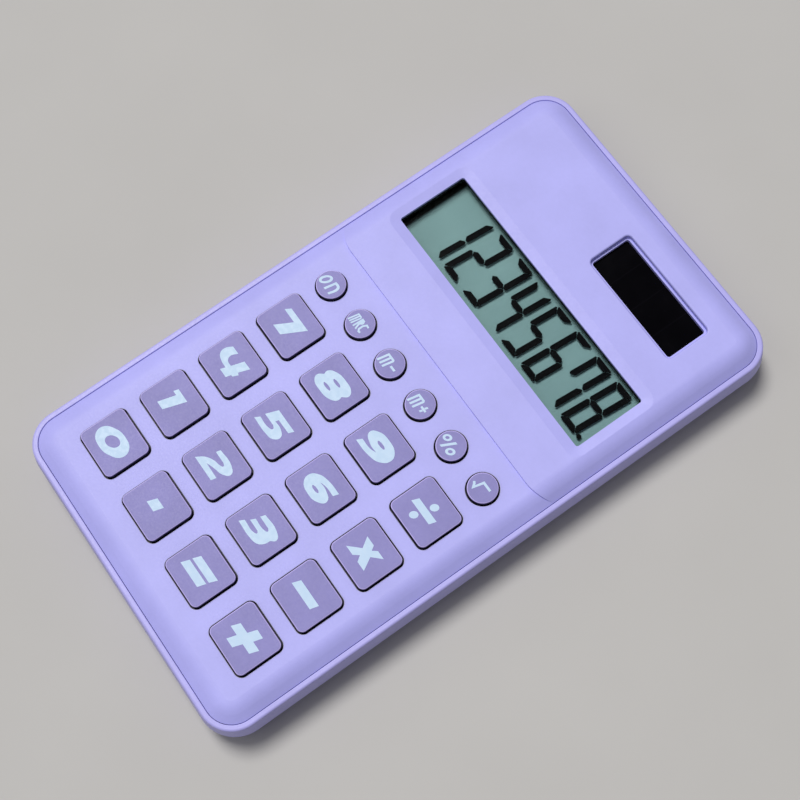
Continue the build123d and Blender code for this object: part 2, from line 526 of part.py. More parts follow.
with BuildPart() as chip_blob:
    with BuildSketch(Plane.XY.offset(BOARD_BOTTOM_Z)):
        with Locations((0, WINDOW_Y)):
            Circle(CHIP_RADIUS)
    extrude(amount=CHIP_HEIGHT, dir=(0, 0, -1), taper=DOME_LEAN)
    fillet(chip_blob.edges().group_by(Axis.Z)[0], radius=CHIP_HEIGHT / 2)
save(chip_blob, "chip_blob")

with BuildPart() as chip_capacitors:
    with BuildSketch(Plane.XY.offset(BOARD_BOTTOM_Z)):
        with Locations((COLUMNS_X[2], WINDOW_Y - CHIP_RADIUS), (COLUMNS_X[2], WINDOW_Y + CHIP_RADIUS)):
            Rectangle(CHIP_PART_LENGTH, CHIP_PART_WIDTH)
    extrude(amount=CHIP_PART_HEIGHT, dir=(0, 0, -1))
save(chip_capacitors, "chip_capacitors")

with BuildPart() as chip_resistors:
    with BuildSketch(Plane.XY.offset(BOARD_BOTTOM_Z)):
        with Locations((COLUMNS_X[1], PAD_Y), (0, PAD_Y), (COLUMNS_X[2], PAD_Y)):
            Rectangle(CHIP_PART_LENGTH, CHIP_PART_WIDTH)
    extrude(amount=CHIP_PART_HEIGHT / 2, dir=(0, 0, -1))
save(chip_resistors, "chip_resistors")

with BuildPart() as clamp_diode:
    with BuildSketch(Plane.YZ.offset(COLUMNS_X[3] - DIODE_LENGTH / 2)):
        with Locations((PAD_Y, BOARD_BOTTOM_Z - DIODE_RADIUS)):
            Circle(DIODE_RADIUS)
    extrude(amount=DIODE_LENGTH)
save(clamp_diode, "clamp_diode")

# ------------------------------------------------------------------ button cell, contacts and wires
with BuildPart() as button_cell:
    with BuildSketch(Plane.XY.offset(CELL_Z)):
        with Locations((CELL_X, CELL_Y)):
            Circle(CELL_RADIUS)
    extrude(amount=CELL_THICKNESS)
    chamfer(button_cell.edges().group_by(Axis.Z)[0], length=CELL_RIM)
save(button_cell, "button_cell")

with BuildPart() as negative_contact:
    with BuildSketch(Plane.XY.offset(FLOOR)):
        with Locations((CELL_X, CELL_Y)):
            Circle(CONTACT_WIDTH / 2)
        with Locations((CELL_X, CELL_Y - CONTACT_TAB / 2)):
            Rectangle(CONTACT_WIDTH, CONTACT_TAB)
    extrude(amount=CONTACT_SHEET)
    with BuildSketch(Plane.XY.offset(FLOOR + CONTACT_SHEET)):
        with Locations((CELL_X, CELL_Y)):
            Circle(CONTACT_WIDTH / 4)
    extrude(amount=CONTACT_SPRING)
save(negative_contact, "negative_contact")

with BuildPart() as positive_contact:
    with BuildSketch(Plane.XY.offset(CELL_TOP_Z)):
        with Locations((CELL_X, CELL_Y)):
            SlotCenterToCenter(2 * EAR_X, CONTACT_WIDTH)
        with Locations(*EAR_SPOTS):
            Circle(PEG_RADIUS + SCREW_FIT, mode=Mode.SUBTRACT)
    extrude(amount=CONTACT_SHEET)
save(positive_contact, "positive_contact")


def make_wire(name, start, *others):
    """Insulated wire along straight runs joined by arcs, its ends lying on their pads."""
    points = [start, *others]
    runs = [(Vector(*b) - Vector(*a)).length for a, b in zip(points, points[1:])]
    with BuildPart() as wire_piece:
        with BuildLine() as route:
            FilletPolyline(*points, radius=WIRE_BEND * min(runs))
        with BuildSketch(Plane(origin=start, z_dir=Vector(*points[1]) - Vector(*start))):
            Circle(WIRE_RADIUS)
        sweep(path=route.wires()[0])
    save(wire_piece, name)


EAR_WIRE_X = EAR_SPOTS[0][0]
make_wire("battery_wire_red",
          (EAR_WIRE_X, CELL_Y - 2 * PEG_RADIUS, POSITIVE_WIRE_Z),
          (EAR_WIRE_X, BOARD_HIGH_Y + WIRE_STEP, POSITIVE_WIRE_Z),
          (EAR_WIRE_X + WIRE_STEP, BOARD_HIGH_Y, BOARD_WIRE_Z),
          (EAR_WIRE_X + WIRE_STEP, BOARD_HIGH_Y - WIRE_LAP, BOARD_WIRE_Z))

TAB_Y = CELL_Y - CONTACT_TAB
make_wire("battery_wire_black",
          (CELL_X, TAB_Y + WIRE_LAP, NEGATIVE_WIRE_Z),
          (CELL_X, TAB_Y - WIRE_LAP / 2, NEGATIVE_WIRE_Z),
          (CELL_X + WIRE_STEP, TAB_Y - WIRE_LAP / 2 - WIRE_STEP, UNDER_WIRE_Z),
          (CELL_X + WIRE_STEP, TAB_Y - 3 * WIRE_LAP / 2 - WIRE_STEP, UNDER_WIRE_Z))

SOLAR_WIRE_X = SOLAR_CELL_WIDTH / 2 - WIRE_STEP
for wire_name, wire_x, lean in (("solar_wire_black", SOLAR_X - SOLAR_WIRE_X, WIRE_STEP / 2),
                                ("solar_wire_red", SOLAR_X + SOLAR_WIRE_X, -WIRE_STEP / 2)):
    make_wire(wire_name,
              (wire_x, SOLAR_LOW_Y + 2 * WIRE_LAP, SOLAR_WIRE_Z),
              (wire_x, SOLAR_LOW_Y + WIRE_LAP, SOLAR_WIRE_Z),
              (wire_x + lean, BOARD_HIGH_Y, BOARD_WIRE_Z),
              (wire_x + lean, BOARD_HIGH_Y - WIRE_LAP, BOARD_WIRE_Z))

# ------------------------------------------------------------------ screws
with BuildPart() as board_screws:
    with BuildSketch(Plane.XY.offset(BOARD_BOTTOM_Z - BOARD_SCREW_HEAD)):
        with Locations(*BOARD_SCREW_SPOTS):
            Circle(BOARD_SCREW_HEAD_RADIUS)
    extrude(amount=BOARD_SCREW_HEAD)
    fillet(board_screws.edges().group_by(Axis.Z)[0], radius=BOARD_SCREW_HEAD / 2)
    with BuildSketch(Plane.XY.offset(BOARD_BOTTOM_Z)):
        with Locations(*BOARD_SCREW_SPOTS):
            Circle(BOARD_SCREW_RADIUS)
    extrude(amount=BOARD_SCREW_LENGTH)
    with BuildSketch(Plane.XY.offset(BOARD_BOTTOM_Z - BOARD_SCREW_HEAD)):
        with Locations(*BOARD_SCREW_SPOTS):
            Rectangle(BOARD_SCREW_HEAD_RADIUS, SLOT_WIDTH)
            Rectangle(SLOT_WIDTH, BOARD_SCREW_HEAD_RADIUS)
    extrude(amount=SLOT_DEPTH, mode=Mode.SUBTRACT)
save(board_screws, "board_screws")

with BuildPart() as case_screws:
    with BuildSketch(Plane.XY.offset(CASE_SCREW_SINK)):
        with Locations(*CASE_SCREW_SPOTS):
            Circle(CASE_SCREW_HEAD_RADIUS)
    extrude(amount=CASE_SCREW_HEAD)
    fillet(case_screws.edges().group_by(Axis.Z)[0], radius=CASE_SCREW_HEAD / 2)
    with BuildSketch(Plane.XY.offset(CASE_HEAD_Z)):
        with Locations(*CASE_SCREW_SPOTS):
            Circle(CASE_SCREW_RADIUS)
    extrude(amount=CASE_SCREW_SEAT + CASE_SCREW_LENGTH - HOLE_FIT)
    with BuildSketch(Plane.XY.offset(CASE_SCREW_SINK)):
        with Locations(*CASE_SCREW_SPOTS):
            Rectangle(CASE_SCREW_HEAD_RADIUS, SLOT_WIDTH)
            Rectangle(SLOT_WIDTH, CASE_SCREW_HEAD_RADIUS)
    extrude(amount=SLOT_DEPTH, mode=Mode.SUBTRACT)
save(case_screws, "case_screws")


# ------------------------------------------------------------------ keys
def square_key(margin):
    """Outline of a square key's hole, grown by a margin."""
    return RectangleRounded(KEY_HOLE_WIDTH + 2 * margin, KEY_HOLE_HEIGHT + 2 * margin,
                            KEY_HOLE_CORNER + margin)


def round_key(margin):
    """Outline of a round key's hole, grown by a margin."""
    return Circle(ROUND_HOLE / 2 + margin)


def make_key(name, spot, outline):
    """Key cap that stands through its hole, with a flange under the front cover, clear of the board bosses."""
    with BuildPart() as key:
        with BuildSketch(Plane.XY.offset(FLANGE_BOTTOM_Z)):
            with Locations(spot):
                outline(-KEY_GAP)
        extrude(amount=KEY_TOP_Z - FLANGE_BOTTOM_Z)
        fillet(key.edges().group_by(Axis.Z)[-1], radius=KEY_EDGE_RADIUS)
        with BuildSketch(Plane.XY.offset(FLANGE_BOTTOM_Z)):
            with Locations(spot):
                outline(FLANGE)
            with Locations(*BOARD_SCREW_SPOTS):
                Circle(BOARD_BOSS_RADIUS + HOLE_FIT, mode=Mode.SUBTRACT)
        extrude(amount=FLANGE_THICKNESS)
    save(key, name)


SQUARE_KEYS = ["key_0", "key_decimal_point", "key_equals", "key_plus",
               "key_1", "key_2", "key_3", "key_minus",
               "key_4", "key_5", "key_6", "key_multiply",
               "key_7", "key_8", "key_9", "key_divide"]
ROUND_KEYS = ["key_on", "key_memory_recall", "key_memory_minus", "key_memory_plus",
              "key_percent", "key_square_root"]
for key_name, key_spot in zip(SQUARE_KEYS, SQUARE_SPOTS):
    make_key(key_name, key_spot, square_key)
for key_name, key_spot in zip(ROUND_KEYS, ROUND_SPOTS):
    make_key(key_name, key_spot, round_key)
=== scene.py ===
"""Looks of the pocket calculator: finishes, key legends, display digits, light and camera."""
import json
import math

import bpy
from mathutils import Matrix, Vector


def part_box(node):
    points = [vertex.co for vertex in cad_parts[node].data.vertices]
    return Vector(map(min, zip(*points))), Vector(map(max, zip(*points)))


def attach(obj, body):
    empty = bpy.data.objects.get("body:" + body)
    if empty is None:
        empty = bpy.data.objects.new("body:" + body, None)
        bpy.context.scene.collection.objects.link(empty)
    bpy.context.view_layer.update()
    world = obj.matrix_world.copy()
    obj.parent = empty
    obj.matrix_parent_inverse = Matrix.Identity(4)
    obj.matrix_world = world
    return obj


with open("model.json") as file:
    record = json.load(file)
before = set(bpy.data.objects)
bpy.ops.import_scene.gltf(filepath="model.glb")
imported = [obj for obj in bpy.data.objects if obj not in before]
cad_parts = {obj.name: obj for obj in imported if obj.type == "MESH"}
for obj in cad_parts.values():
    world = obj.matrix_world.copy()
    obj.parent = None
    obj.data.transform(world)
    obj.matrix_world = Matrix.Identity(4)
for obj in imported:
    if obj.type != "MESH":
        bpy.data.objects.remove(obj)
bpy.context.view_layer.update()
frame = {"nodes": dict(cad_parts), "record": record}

RECORD = frame["record"]
NODES = frame["nodes"]
BODY_OF = {node: body for body, nodes in RECORD["behaviour"]["bodies"].items() for node in nodes}
SLOT_OF = {part["node"]: part["material_slot"] for part in RECORD["subparts"]}
MM = 0.001

# ------------------------------------------------------------------ colours and sizes of the finishes
COVER = (0.45, 0.445, 0.92)
# painted highlight on the rims of the key holes
HOLE_HIGHLIGHT_COLOUR = (0.78, 0.76, 1.0)
CASE = (0.45, 0.43, 0.86)
KEY = (0.255, 0.235, 0.55)
# painted highlight on the edges of the key tops
KEY_HIGHLIGHT_COLOUR = (0.62, 0.54, 0.98)
# painted shade on the walls of the keys and their holes, down in the gaps
GAP_SHADE_COLOUR = (0.02, 0.017, 0.05)
INK = (0.55, 0.72, 0.92)
LCD_LEFT = (0.27, 0.41, 0.44)
LCD_RIGHT = (0.24, 0.37, 0.41)
LCD_NEAR = (0.13, 0.27, 0.17)
UNLIT = (0.01, 0.014, 0.014)
SOLAR_DUST = (0.3, 0.3, 0.33)
SOLAR_LINE = (0.008, 0.007, 0.011)

# The rest is in millimetres, except the number of cells.
FLOW_PATCH = 9.0
SPECK = 0.9
KEY_PROUD = 1.0                 # from the keypad face to the key tops
# Depths of the painted highlight on the key-hole rims and of the painted shade on the hole walls
HOLE_RIM_HIGHLIGHT = (0.05, 0.004)   # below the keypad face: full tint, and no tint
HOLE_WALL_SHADE = (0.22, 0.14)
# Depths of the painted highlight on the key tops' edges and of the painted shade on the keys' sides
KEY_RIM_HIGHLIGHT = (0.035, 0.003)   # below the key tops: full tint, and no tint
KEY_WALL_SHADE = (0.24, 0.15)
HOLDER_MARGIN = 1.0             # front polariser that its holder covers, along each side
LCD_NEAR_WIDTH = 0.7            # in from the window's near edge
LCD_UNLIT = (0.5, 1.0)          # in from the window's left edge: unlit, and lit
SOLAR_CELLS = 4
SCREEN_WEAVE = 0.12
ZEBRA_PITCH = 0.36
FOAM_CELL = 0.5


# ------------------------------------------------------------------ node helpers
class Finish:
    """A node material under construction.

    Patterns lie in the piece's own space, and sizes are in millimetres.
    """

    def __init__(self, name):
        self.material = bpy.data.materials.new(name)
        self.material.use_nodes = True
        self.tree = self.material.node_tree
        self.shader = self.tree.nodes["Principled BSDF"]
        self.space = self.tree.nodes.new("ShaderNodeTexCoord").outputs["Object"]

    def node(self, kind, inputs=(), **settings):
        """A new node, with its settings and with {input: value or socket}."""
        made = self.tree.nodes.new(kind)
        for key, value in settings.items():
            setattr(made, key, value)
        for key, value in dict(inputs).items():
            self.feed(made.inputs[key], value)
        return made

    def feed(self, target, value):
        if isinstance(value, bpy.types.NodeSocket):
            self.tree.links.new(value, target)
        else:
            target.default_value = value

    def set(self, **values):
        """Values or sockets for the main shader, with _ for a space in a socket's name."""
        for key, value in values.items():
            self.feed(self.shader.inputs[key.replace("_", " ")], value)

    def noise(self, size, detail=3.0, stretch=(1, 1, 1)):
        """Noise with grains of about that size, drawn out along the axes by stretch."""
        scale = tuple(1 / (size * MM * s) for s in stretch)
        placed = self.node("ShaderNodeMapping", {"Vector": self.space, "Scale": scale})
        made = self.node("ShaderNodeTexNoise",
                         {"Vector": placed.outputs[0], "Scale": 1.0, "Detail": detail})
        return made.outputs["Fac"]

    def span(self, factor, low, high, start=0.3, end=0.7):
        """The factor's stretch from start to end, spread over low to high."""
        made = self.node("ShaderNodeMapRange", {"Value": factor, "From Min": start, "From Max": end,
                                                "To Min": low, "To Max": high})
        return made.outputs["Result"]

    def blend(self, factor, one, two):
        """Colour one where the factor is 0 and colour two where it is 1."""
        made = self.node("ShaderNodeMix", data_type="RGBA")
        self.feed(made.inputs["Factor"], factor)
        self.feed(made.inputs["A"], one if isinstance(one, bpy.types.NodeSocket) else (*one, 1))
        self.feed(made.inputs["B"], two if isinstance(two, bpy.types.NodeSocket) else (*two, 1))
        return made.outputs["Result"]

    def math(self, operation, one, two=0.0):
        made = self.node("ShaderNodeMath", operation=operation)
        self.feed(made.inputs[0], one)
        self.feed(made.inputs[1], two)
        return made.outputs[0]

    def axis(self, name):
        """One coordinate in millimetres."""
        split = self.node("ShaderNodeSeparateXYZ", {"Vector": self.space})
        return self.math("DIVIDE", split.outputs[name], MM)

    def relief(self, height, depth, strength=1.0):
        """Bumps of that depth in millimetres."""
        made = self.node("ShaderNodeBump",
                         {"Height": height, "Distance": depth * MM, "Strength": strength})
        self.set(Normal=made.outputs["Normal"])


def shade(colour, by):
    return tuple(min(1.0, channel * by) for channel in colour)


# ------------------------------------------------------------------ finishes
def moulded(name, colour, roughness, mottle=0.04, grain=0.35, grain_depth=0.006, shine=0.35,
            tint=None):
    """Injection-moulded plastic: flow patches, specks and a spark-eroded grain, then any tint, such
    as painted highlights and shade.
    """
    finish = Finish(name)
    patches = finish.span(finish.noise(FLOW_PATCH, 4.0), 0.0, 1.0)
    base = finish.blend(patches, shade(colour, 1 - mottle), shade(colour, 1 + mottle))
    specks = finish.span(finish.noise(SPECK, 5.0), 0.0, 1.0, 0.35, 0.65)
    base = finish.blend(finish.math("MULTIPLY", specks, mottle), base, shade(colour, 0.6))
    if tint:
        base = tint(finish, base)
    grainy = finish.noise(grain, 6.0)
    finish.set(Base_Color=base, Roughness=finish.span(grainy, roughness - 0.05, roughness + 0.07),
               Specular_IOR_Level=shine)
    finish.relief(grainy, grain_depth)
    return finish.material


def below(finish, height, top, tint):
    """1 below the first depth under top, and 0 above the second."""
    full, none = tint
    return finish.span(height, 1.0, 0.0, top - full, top - none)


def hole_highlight_and_shade(finish, base):
    """Painted highlight on the rims of the key holes, and painted shade on the walls below them."""
    boxes = [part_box(key) for key in LEGENDS]
    face = boxes[0][1].z / MM - KEY_PROUD
    inside = 1.0
    for letter in "XY":
        low = min(getattr(box[0], letter.lower()) for box in boxes) / MM
        high = max(getattr(box[1], letter.lower()) for box in boxes) / MM
        away = finish.math("ABSOLUTE", finish.math("SUBTRACT", finish.axis(letter), (low + high) / 2))
        inside = finish.math("MULTIPLY", finish.math("LESS_THAN", away, (high - low) / 2), inside)
    height = finish.axis("Z")
    rim = finish.math("MULTIPLY", below(finish, height, face, HOLE_RIM_HIGHLIGHT), inside)
    painted_shade = finish.math("MULTIPLY", below(finish, height, face, HOLE_WALL_SHADE), inside)
    return finish.blend(painted_shade, finish.blend(rim, base, HOLE_HIGHLIGHT_COLOUR), GAP_SHADE_COLOUR)


def key_highlight_and_shade(finish, base):
    """Painted highlight on the edges of the key tops, and painted shade on their sides down in the
    holes.
    """
    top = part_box("key_5")[1].z / MM
    height = finish.axis("Z")
    base = finish.blend(below(finish, height, top, KEY_RIM_HIGHLIGHT), base, KEY_HIGHLIGHT_COLOUR)
    return finish.blend(below(finish, height, top, KEY_WALL_SHADE), base, GAP_SHADE_COLOUR)


def cover_plastic():
    return moulded("cover_plastic", COVER, 0.48, tint=hole_highlight_and_shade)


def case_plastic():
    return moulded("case_plastic", CASE, 0.42, grain_depth=0.005)


def key_plastic():
    return moulded("key_plastic", KEY, 0.5, mottle=0.07, grain=0.3, grain_depth=0.012, tint=key_highlight_and_shade)


def black_plastic():
    return moulded("black_plastic", (0.006, 0.006, 0.008), 0.6, mottle=0.1, shine=0.2)


def legend_ink():
    """Pad-printed pale blue ink, a little uneven at its rim."""
    finish = Finish("legend_ink")
    cloud = finish.span(finish.noise(0.8, 4.0), 0.0, 1.0)
    finish.set(Base_Color=finish.blend(cloud, shade(INK, 0.95), INK),
               Roughness=finish.span(cloud, 0.4, 0.55), Specular_IOR_Level=0.3)
    finish.relief(finish.noise(0.2, 4.0), 0.003)
    return finish.material


def segment_black():
    """Switched crystal between the glasses: black, with a trace of blue."""
    finish = Finish("segment_black")
    cloud = finish.noise(2.0)
    finish.set(Base_Color=finish.blend(cloud, (0.0015, 0.0015, 0.002), (0.004, 0.004, 0.006)),
               Roughness=finish.span(cloud, 0.6, 0.8), Specular_IOR_Level=0.05)
    return finish.material


def clear(name, tint, roughness, mirror_ior, haze_size):
    """Clear sheet that lets lamps through, with a mirror share that grows at a flat angle."""
    finish = Finish(name)
    haze = finish.span(finish.noise(haze_size), 0.0, 1.0)
    colour = finish.blend(haze, shade(tint, 0.985), tint)
    through = finish.node("ShaderNodeBsdfTransparent", {"Color": colour})
    gloss = finish.node("ShaderNodeBsdfGlossy",
                        {"Roughness": finish.span(haze, roughness, roughness * 1.3)})
    fresnel = finish.node("ShaderNodeFresnel", {"IOR": mirror_ior})
    mix = finish.node("ShaderNodeMixShader", {"Fac": fresnel.outputs[0]})
    finish.tree.links.new(through.outputs[0], mix.inputs[1])
    finish.tree.links.new(gloss.outputs[0], mix.inputs[2])
    finish.tree.nodes.remove(finish.shader)
    finish.tree.links.new(mix.outputs[0], finish.tree.nodes["Material Output"].inputs["Surface"])
    return finish.material


def polariser_film():
    return clear("polariser_film", (0.95, 0.97, 0.96), 0.14, 1.04, 6.0)


def display_glass():
    return clear("display_glass", (0.985, 0.995, 0.99), 0.1, 1.02, 11.0)


def reflector_film():
    """Brushed foil behind the rear polariser: grey-green, and darker to the right.

    It is green along its near edge and unlit along its left edge.
    """
    finish = Finish("reflector_film")
    low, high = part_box("lcd_reflector")
    run = finish.span(finish.axis("X"), 0.0, 1.0, low.x / MM, high.x / MM)
    base = finish.blend(run, LCD_LEFT, LCD_RIGHT)
    brushed = finish.noise(0.5, 5.0, stretch=(12, 1, 1))
    base = finish.blend(finish.math("MULTIPLY", brushed, 0.08), base, shade(LCD_RIGHT, 0.7))
    window_low = window_box()[0]
    window_left, window_near = window_low.x / MM, window_low.y / MM
    near = finish.span(finish.axis("Y"), 1.0, 0.0, window_near, window_near + LCD_NEAR_WIDTH)
    base = finish.blend(finish.math("MULTIPLY", near, 0.5), base, LCD_NEAR)
    unlit, lit = LCD_UNLIT
    left = finish.span(finish.axis("X"), 1.0, 0.0, window_left + unlit, window_left + lit)
    base = finish.blend(left, base, UNLIT)
    finish.set(Base_Color=base, Roughness=finish.span(brushed, 0.5, 0.62), Specular_IOR_Level=0.2)
    finish.relief(brushed, 0.004)
    return finish.material


def solar_glass():
    """Amorphous silicon behind glass: near black, parted into cells by fine scribed lines."""
    finish = Finish("solar_glass")
    low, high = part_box("solar_cell")
    cell = (high.x - low.x) / MM / SOLAR_CELLS
    along = finish.math("SUBTRACT", finish.axis("X"), low.x / MM)
    place = finish.math("FRACT", finish.math("DIVIDE", along, cell))
    from_middle = finish.math("ABSOLUTE", finish.math("SUBTRACT", place, 0.5))
    line = finish.span(from_middle, 0.0, 1.0, 0.49, 0.495)
    cloud = finish.noise(5.0)
    base = finish.blend(cloud, (0.001, 0.0009, 0.0014), (0.002, 0.0018, 0.003))
    dust = finish.span(finish.noise(0.35, 2.0), 0.0, 0.05, 0.74, 0.8)
    base = finish.blend(dust, base, SOLAR_DUST)
    finish.set(Base_Color=finish.blend(finish.math("MULTIPLY", line, 0.4), base, SOLAR_LINE),
               Roughness=finish.span(cloud, 0.08, 0.16), Specular_IOR_Level=0.05)
    finish.relief(cloud, 0.004)
    return finish.material


def board():
    """Brown paper laminate with its fibres, under a thin varnish."""
    finish = Finish("board")
    fibres = finish.noise(0.7, 6.0, stretch=(6, 1, 1))
    finish.set(Base_Color=finish.blend(fibres, (0.2, 0.1, 0.03), (0.42, 0.25, 0.09)),
               Roughness=finish.span(fibres, 0.3, 0.45))
    finish.relief(fibres, 0.01)
    return finish.material


def carbon():
    """Screen-printed carbon, with the weave of the screen."""
    finish = Finish("carbon")
    weave = finish.node("ShaderNodeTexChecker",
                        {"Vector": finish.space, "Scale": 1 / (SCREEN_WEAVE * MM)})
    grain = finish.noise(0.25, 4.0)
    finish.set(Base_Color=finish.blend(grain, (0.008, 0.008, 0.009), (0.03, 0.03, 0.032)),
               Roughness=finish.span(grain, 0.5, 0.75))
    finish.relief(weave.outputs["Fac"], 0.004, 0.4)
    return finish.material


def silicone():
    """Milky moulded silicone rubber."""
    finish = Finish("silicone")
    cloud = finish.noise(3.0, 4.0)
    finish.set(Base_Color=finish.blend(cloud, (0.62, 0.62, 0.6), (0.76, 0.76, 0.73)),
               Roughness=finish.span(cloud, 0.5, 0.65),
               Subsurface_Weight=0.4, Subsurface_Scale=1.5 * MM)
    finish.relief(finish.noise(0.3, 4.0), 0.006)
    return finish.material


def zebra_rubber():
    """Elastomer with fine conducting layers side by side."""
    finish = Finish("zebra_rubber")
    layers = finish.math("FRACT", finish.math("DIVIDE", finish.axis("X"), ZEBRA_PITCH))
    stripes = finish.span(layers, 0.0, 1.0, 0.48, 0.52)
    finish.set(Base_Color=finish.blend(stripes, (0.45, 0.42, 0.4), (0.02, 0.02, 0.02)),
               Roughness=finish.span(finish.noise(0.5), 0.55, 0.7))
    return finish.material


def foam():
    """Open-cell foam."""
    finish = Finish("foam")
    bubbles = finish.node("ShaderNodeTexVoronoi",
                          {"Vector": finish.space, "Scale": 1 / (FOAM_CELL * MM)})
    cells = bubbles.outputs["Distance"]
    finish.set(Base_Color=finish.blend(cells, (0.015, 0.015, 0.016), (0.08, 0.08, 0.085)),
               Roughness=finish.span(cells, 0.8, 0.95, 0.0, 1.0))
    finish.relief(cells, 0.15)
    return finish.material


def speckled(name, dark, light, grain, rough, metallic=0.0, stretch=(1, 1, 1), depth=0.004):
    """A small part's finish: two close colours in a grain, with matching relief."""
    finish = Finish(name)
    grains = finish.noise(grain, 5.0, stretch)
    finish.set(Base_Color=finish.blend(finish.span(grains, 0.0, 1.0), dark, light),
               Roughness=finish.span(grains, *rough), Metallic=metallic)
    finish.relief(grains, depth)
    return finish.material


FINISHES = {
    "cover_plastic": cover_plastic,
    "case_plastic": case_plastic,
    "key_plastic": key_plastic,
    "black_plastic": black_plastic,
    "polariser_film": polariser_film,
    "display_glass": display_glass,
    "reflector_film": reflector_film,
    "solar_glass": solar_glass,
    "board": board,
    "carbon": carbon,
    "silicone": silicone,
    "zebra_rubber": zebra_rubber,
    "foam": foam,
}
SPECKLED = {    # dark and light colour, size of the grain, roughness, and what else differs
    "epoxy": ((0.006, 0.006, 0.007), (0.014, 0.014, 0.015), 1.2, (0.25, 0.4), {"depth": 0.02}),
    "ceramic": ((0.4, 0.25, 0.14), (0.5, 0.34, 0.21), 0.15, (0.5, 0.65), {}),
    "resistor": ((0.012, 0.012, 0.013), (0.03, 0.03, 0.032), 0.2, (0.35, 0.5), {}),
    "diode_glass": ((0.42, 0.12, 0.04), (0.62, 0.24, 0.1), 0.6, (0.08, 0.16), {}),
    "cell_steel": ((0.6, 0.6, 0.61), (0.76, 0.76, 0.77), 0.4, (0.2, 0.32),
                   {"metallic": 1.0, "stretch": (9, 1, 1)}),
    "contact_metal": ((0.58, 0.56, 0.5), (0.74, 0.72, 0.66), 0.3, (0.26, 0.4),
                      {"metallic": 1.0, "stretch": (7, 1, 1)}),
    "wire_red": ((0.42, 0.012, 0.012), (0.6, 0.02, 0.02), 1.0, (0.35, 0.5), {}),
    "wire_black": ((0.007, 0.007, 0.007), (0.016, 0.016, 0.016), 1.0, (0.35, 0.5), {}),
    "screw_steel": ((0.42, 0.42, 0.43), (0.6, 0.6, 0.6), 0.35, (0.3, 0.45),
                    {"metallic": 1.0, "stretch": (1, 6, 1)}),
}


def window_box():
    """Lowest and highest corner of the front polariser, less the margin that its holder covers."""
    low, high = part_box("lcd_front_polariser")
    margin = Vector((HOLDER_MARGIN * MM, HOLDER_MARGIN * MM, 0))
    return low + margin, high - margin


def dress_nodes():
    made = {slot: build() for slot, build in FINISHES.items()}
    for slot, (dark, light, grain, rough, more) in SPECKLED.items():
        made[slot] = speckled(slot, dark, light, grain, rough, **more)
    for name, piece in NODES.items():
        piece.data.materials.clear()
        piece.data.materials.append(made[SLOT_OF[name]])


# ------------------------------------------------------------------ flat shapes
ROUND = True    # third value of a point that the outline passes smoothly


def oval(x, y, half_width, half_height, lean=0.33, points=8):
    """Oval that leans to the right by lean for each unit of height."""
    turns = [2 * math.pi * i / points for i in range(points)]
    return [(x + half_width * math.cos(t) + lean * half_height * math.sin(t),
             y + half_height * math.sin(t), ROUND) for t in turns]


def bar(left, right, bottom, top, lean=0.33):
    """Upright strip that leans about its own bottom left corner."""
    shift = lean * (top - bottom)
    return [(left, bottom), (right, bottom), (right + shift, top), (left + shift, top)]


def stroke(points, width):
    """Outline of a pen line through the points, with mitred corners."""
    line = [Vector(p) for p in points]
    along = [(b - a).normalized() for a, b in zip(line, line[1:])]
    along = [along[0]] + along + [along[-1]]
    sides = []
    for point, before, after in zip(line, along, along[1:]):
        middle = (before + after).normalized()
        normal = Vector((-middle.y, middle.x))
        sides.append((point, normal * (width / 2 / max(0.5, middle.dot(before)))))
    left = [tuple(p + n) for p, n in sides]
    right = [tuple(p - n) for p, n in reversed(sides)]
    return left + right


def solid(name, loops, thickness, place, material):
    """Flat shape with those outlines, in millimetres from place, which lies in its underside."""
    curve = bpy.data.curves.new(name, "CURVE")
    curve.dimensions = "2D"
    curve.fill_mode = "BOTH"
    curve.resolution_u = 5
    curve.extrude = thickness / 2
    for loop in loops:
        spline = curve.splines.new("BEZIER")
        spline.bezier_points.add(len(loop) - 1)
        spline.use_cyclic_u = True
        for point, spot in zip(spline.bezier_points, loop):
            point.co = (spot[0], spot[1], 0)
            kind = "AUTO" if len(spot) == 3 else "VECTOR"
            point.handle_left_type = point.handle_right_type = kind
    shape = bpy.data.objects.new(name + "_outline", curve)
    bpy.context.scene.collection.objects.link(shape)
    bpy.context.view_layer.update()
    mesh = bpy.data.meshes.new_from_object(shape.evaluated_get(bpy.context.evaluated_depsgraph_get()))
    bpy.data.objects.remove(shape)
    lift = Matrix.Translation((0, 0, thickness / 2))
    mesh.transform(Matrix.Translation(place) @ Matrix.Scale(MM, 4) @ lift)
    mesh.name = name
    mesh.materials.clear()
    mesh.materials.append(material)
    piece = bpy.data.objects.new(name, mesh)
    bpy.context.scene.collection.objects.link(piece)
    return piece


# ------------------------------------------------------------------ key legends
SMALL_CORNER = 0.3      # cut off the small letter's shoulder
SMALL_LEAN = 0.2


def small_m(left, bottom=-1.5, top=1.05, width=2.0, pen=0.42):
    """Two-arched letter with square feet, leaning like the figures."""
    step = (width - pen) / 2
    upright = [(0, 0), (0, top - bottom), (width - SMALL_CORNER, top - bottom),
               (width, top - bottom - SMALL_CORNER), (width, 0), (width - pen, 0),
               (width - pen, top - bottom - pen), (step + pen, top - bottom - pen),
               (step + pen, 0), (step, 0), (step, top - bottom - pen), (pen, top - bottom - pen),
               (pen, 0)]
    return [(left + x + SMALL_LEAN * y, bottom + y) for x, y in upright]


